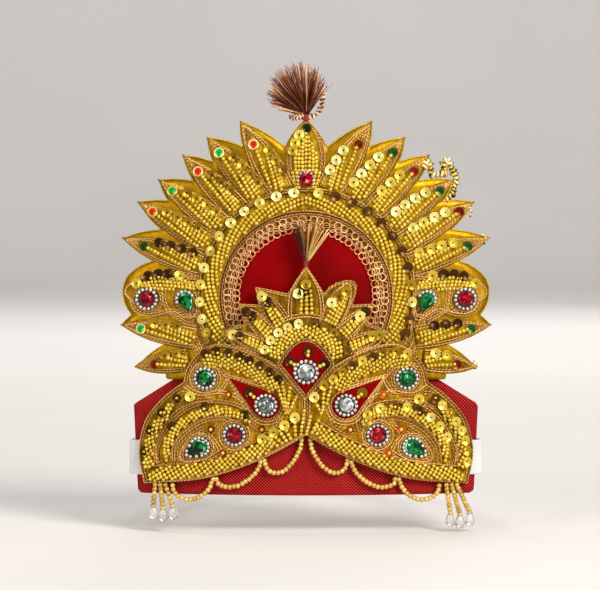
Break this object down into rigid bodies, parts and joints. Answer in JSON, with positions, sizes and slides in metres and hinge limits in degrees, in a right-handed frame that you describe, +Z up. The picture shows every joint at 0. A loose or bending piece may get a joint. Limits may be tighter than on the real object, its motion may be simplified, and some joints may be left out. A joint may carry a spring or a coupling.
{
  "type": "mukut crown",
  "caption": "Ceremonial mukut crown: red head band with elastic strap, gold fan of beaded rays, beaded front plaque with set stones, bead swags and thread tassels.",
  "frame": {"origin": "middle of the head opening, level with the rim of the head band", "axes": "+Z up, the wearer faces -Y, +X to the wearer's left"},
  "size_m": [0.1856, 0.2052, 0.2367],
  "materials": {
    "red_weave": "matt woven cloth",
    "white_elastic": "ribbed woven elastic",
    "gold_tissue": "metallic tissue cloth",
    "red_satin": "smooth satin",
    "zari_lace": "metallic thread lace",
    "bead_work": "pearl gloss",
    "zari_thread": "metallic thread",
    "clear_stone": "foil-backed cut",
    "red_stone": "foil-backed cut",
    "green_stone": "foil-backed cut"
  },
  "bodies": {
    "root": {"bead_ring": "bead_work", "bead_swag_left": "bead_work", "bead_swag_right": "bead_work", "bead_tassel_left": "bead_work", "bead_tassel_right": "bead_work", "clear_stone_left": "clear_stone", "clear_stone_right": "clear_stone", "crest": "bead_work", "crest_clear_stone": "clear_stone", "crest_window": "red_satin", "elastic_strap": "white_elastic", "fan_board": "gold_tissue", "green_drop_left": "green_stone", "green_drop_right": "green_stone", "green_stone_left": "green_stone", "green_stone_right": "green_stone", "head_band": "red_weave", "lace_ring": "zari_lace", "lobe_green_drop_left": "green_stone", "lobe_green_drop_right": "green_stone", "lobe_left": "bead_work", "lobe_red_stone_left": "red_stone", "lobe_red_stone_right": "red_stone", "lobe_right": "bead_work", "ray_1_left": "bead_work", "ray_1_right": "bead_work", "ray_2_left": "bead_work", "ray_2_right": "bead_work", "ray_3_left": "bead_work", "ray_3_right": "bead_work", "ray_4_left": "bead_work", "ray_4_right": "bead_work", "ray_5_left": "bead_work", "ray_5_right": "bead_work", "ray_6_left": "bead_work", "ray_6_right": "bead_work", "ray_7_left": "bead_work", "ray_7_right": "bead_work", "ray_8_left": "bead_work", "ray_8_right": "bead_work", "ray_top": "bead_work", "red_stone_left": "red_stone", "red_stone_right": "red_stone", "satin_disc": "red_satin", "thread_tassel_crest": "zari_thread", "thread_tassel_top": "zari_thread", "top_red_stone": "red_stone", "window_left": "red_satin", "window_right": "red_satin", "wing_left": "bead_work", "wing_right": "bead_work"}
  },
  "joints": []
}
